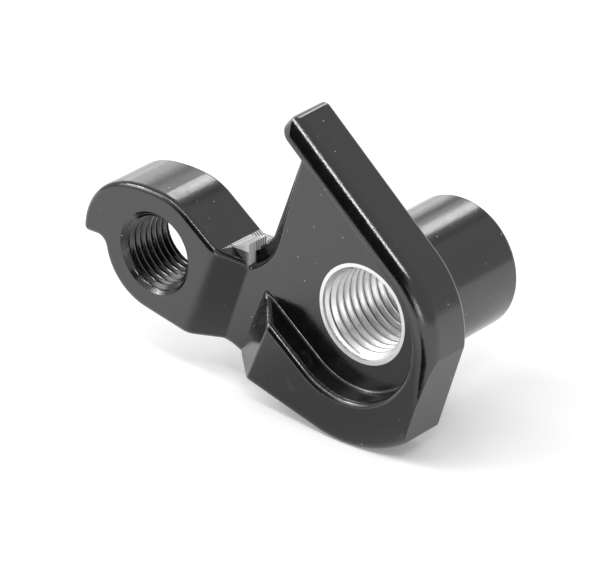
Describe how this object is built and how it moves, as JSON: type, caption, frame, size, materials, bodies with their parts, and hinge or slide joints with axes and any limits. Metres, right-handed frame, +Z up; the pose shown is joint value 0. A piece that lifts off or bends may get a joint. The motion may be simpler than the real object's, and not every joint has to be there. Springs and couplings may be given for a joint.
{
  "type": "derailleur hanger",
  "caption": "One-piece aluminium bicycle derailleur hanger: threaded barrel for a thru-axle, walled seat for the hub end, and a threaded ear with a stop tab for the derailleur.",
  "frame": {"origin": "on the axle thread's axis, at the level of the seat's flat floor", "axes": "+Y along the axle axis, from the hub side out through the barrel; +Z up, so the line from the axle thread to the derailleur thread is level and runs toward -X"},
  "size_m": [0.0543, 0.0231, 0.0401],
  "materials": {
    "body": "black anodised, satin, with a bare bright axle thread"
  },
  "bodies": {
    "root": {"hanger_body": "body"}
  },
  "joints": []
}
